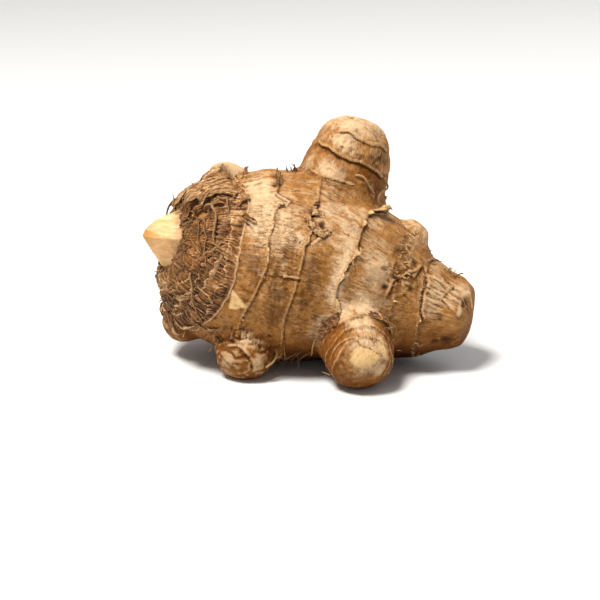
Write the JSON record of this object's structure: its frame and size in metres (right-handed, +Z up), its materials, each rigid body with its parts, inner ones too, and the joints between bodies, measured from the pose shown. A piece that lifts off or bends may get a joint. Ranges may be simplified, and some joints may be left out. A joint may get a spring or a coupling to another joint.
{
  "type": "jerusalem artichoke",
  "caption": "Whole raw tuber lying on its side: a ringed, papery-skinned body with rounded knobs, small buds and a knife-cut stem stub.",
  "frame": {"origin": "centre of the bounding box in X and Y, on the surface that the tuber lies on", "axes": "+X along the tuber away from the cut stem, +Y towards the back, +Z up"},
  "size_m": [0.0892, 0.0686, 0.0647],
  "materials": {
    "skin": "thin matte papery skin, beige with umber blotches, ringed by old scale scars",
    "flesh": "dry knife-cut flesh, pale cream, faintly fibrous",
    "dry_scale": "torn, curled, dry brown leaf scale",
    "rootlet": "dry hair-thin root fibre"
  },
  "bodies": {
    "root": {"tuber": "skin"}
  },
  "joints": []
}
